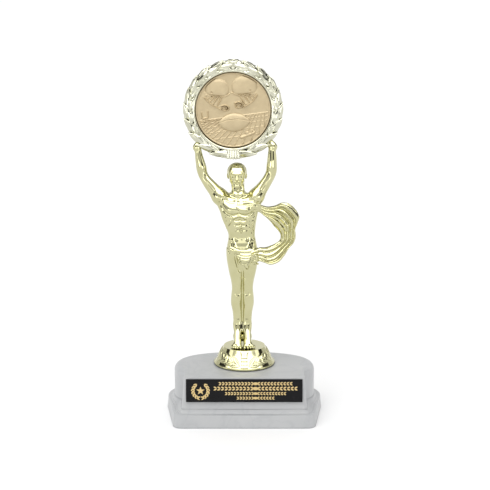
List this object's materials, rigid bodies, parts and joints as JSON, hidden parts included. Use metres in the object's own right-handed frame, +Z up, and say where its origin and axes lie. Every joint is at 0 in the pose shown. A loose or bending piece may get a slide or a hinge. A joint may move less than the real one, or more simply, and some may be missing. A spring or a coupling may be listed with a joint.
{
  "type": "figure trophy",
  "caption": "Gold figure trophy: a draped figure holds up a laurel wreath with a round insert, on a leaf pedestal and a white marble-look base with a nameplate.",
  "frame": {"origin": "middle of the base's footprint, on the surface that the trophy stands on", "axes": "+Z up, -Y to the front with the nameplate and the insert, +X to the viewer's right"},
  "size_m": [0.1094, 0.0716, 0.2481],
  "materials": {
    "marble_plastic": "white moulded plastic with faint grey marbling and a satin gloss",
    "filler": "cast mineral filler, matt grey",
    "felt": "dark green felt",
    "zinc_steel": "zinc-plated steel",
    "bright_gold": "plastic, vacuum-metallised in a pale bright gold",
    "antique_gold": "relief disc with an antique tan-gold satin finish",
    "foam_tape": "white double-sided foam tape",
    "plate_black": "black-coated brass, engraved through to gold lines"
  },
  "bodies": {
    "root": {"base_shell": "marble_plastic", "base_weight": "filler", "bottom_pad": "felt", "flat_washer": "zinc_steel", "hex_nut": "zinc_steel", "threaded_rod": "zinc_steel", "captive_nut": "zinc_steel", "pedestal": "bright_gold", "figure_front": "bright_gold", "figure_back": "bright_gold", "insert_disc": "antique_gold", "insert_tape": "foam_tape", "nameplate": "plate_black", "nameplate_tape": "foam_tape"}
  },
  "joints": []
}
